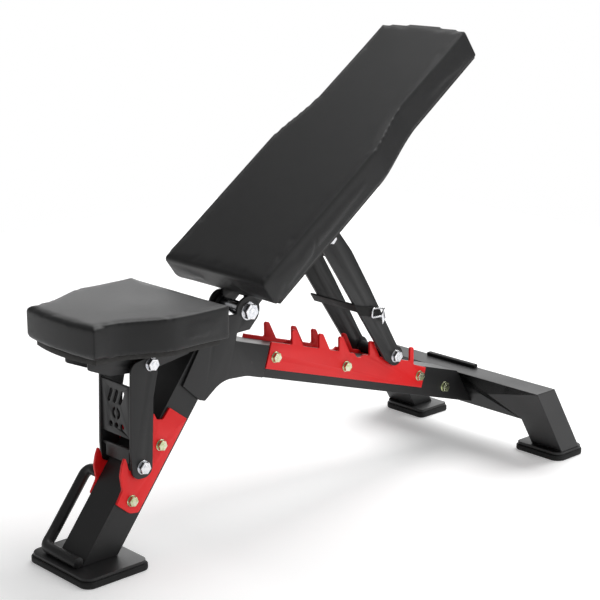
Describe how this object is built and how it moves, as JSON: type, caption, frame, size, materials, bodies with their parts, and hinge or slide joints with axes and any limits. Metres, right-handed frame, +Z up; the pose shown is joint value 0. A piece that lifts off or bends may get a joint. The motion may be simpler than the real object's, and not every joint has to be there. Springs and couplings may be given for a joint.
{
  "type": "adjustable weight bench",
  "caption": "Adjustable weight bench with a padded hinged back on a toothed rack strut and a padded tilting seat held by a notched link.",
  "frame": {"origin": "on the floor under the middle of the bench's plan, half way between the front edge of the front foot and the rear edge of the rear feet", "axes": "+X across the bench to the side with the bolt heads, +Y from the seat towards the rear stabiliser, +Z up"},
  "size_m": [0.492, 1.142, 0.8696],
  "materials": {
    "frame_paint": "satin charcoal powder coat",
    "red_paint": "satin red powder coat",
    "vinyl": "matt black vinyl over foam",
    "board": "black faced board",
    "rubber": "matt black rubber",
    "black_sleeve": "matt black sleeve",
    "bright_steel": "bright plated steel",
    "zinc": "zinc plated steel"
  },
  "bodies": {
    "frame": {"back_hinge_bolts": "bright_steel", "back_hinge_nuts": "bright_steel", "foot_handle": "frame_paint", "front_foot_plate": "frame_paint", "front_foot_shoe": "rubber", "head_plate_left": "frame_paint", "head_plate_right": "frame_paint", "leg_rack_left": "red_paint", "leg_rack_right": "red_paint", "leg_tube": "frame_paint", "rack_bolts": "zinc", "rack_nuts": "zinc", "rear_foot_plate_left": "frame_paint", "rear_foot_plate_right": "frame_paint", "rear_foot_shoe_left": "rubber", "rear_foot_shoe_right": "rubber", "rear_stabiliser": "frame_paint", "seat_hinge_bolts": "bright_steel", "seat_hinge_nuts": "bright_steel", "spine_end_bolts": "zinc", "spine_end_nuts": "zinc", "spine_rack_left": "red_paint", "spine_rack_right": "red_paint", "spine_tube": "frame_paint", "stop_strip": "rubber"},
    "back": {"back_pad": "vinyl", "back_board": "board", "back_beam": "frame_paint", "back_cross_low": "frame_paint", "back_cross_high": "frame_paint", "back_lug_left": "frame_paint", "back_lug_right": "frame_paint", "strut_lug_left": "frame_paint", "strut_lug_right": "frame_paint", "hinge_washers": "bright_steel", "back_hinge_tube": "bright_steel", "strut_hinge_bolts": "bright_steel", "strut_hinge_nuts": "bright_steel", "strut_hinge_tube": "bright_steel"},
    "strut": {"strut_plate_left": "frame_paint", "strut_plate_right": "frame_paint", "strut_roller": "black_sleeve", "catch_sleeve": "black_sleeve", "catch_bolts": "bright_steel", "catch_nuts": "bright_steel", "strut_strap": "rubber", "strut_buckle": "bright_steel"},
    "seat": {"seat_pad": "vinyl", "seat_board": "board", "seat_bracket": "frame_paint", "seat_hinge_tube": "bright_steel", "link_hinge_bolts": "bright_steel", "link_hinge_nuts": "bright_steel", "link_spacers": "bright_steel"},
    "link": {"link_plate_left": "frame_paint", "link_plate_right": "frame_paint", "pierced_panel": "frame_paint", "link_cross": "frame_paint", "link_studs": "bright_steel"}
  },
  "joints": [
    {"name": "back_recline", "type": "hinge", "parent": "frame", "child": "back", "pos_m": [0, -0.16896, 0.398], "axis": [1, 0, 0], "range_deg": [0, 48]},
    {"name": "strut_fold", "type": "hinge", "parent": "back", "child": "strut", "pos_m": [0, 0.02088, 0.50416], "axis": [1, 0, 0], "range_deg": [-45, 0]},
    {"name": "seat_tilt", "type": "hinge", "parent": "frame", "child": "seat", "pos_m": [0, -0.24196, 0.384], "axis": [-1, 0, 0], "range_deg": [0, 28]},
    {"name": "link_swing", "type": "hinge", "parent": "seat", "child": "link", "pos_m": [0, -0.39296, 0.348], "axis": [1, 0, 0], "range_deg": [0, 28]}
  ],
  "couplings": [
    {"joint": "strut_fold", "follows": "back_recline", "ratio": -0.92},
    {"joint": "link_swing", "follows": "seat_tilt", "ratio": 1}
  ]
}
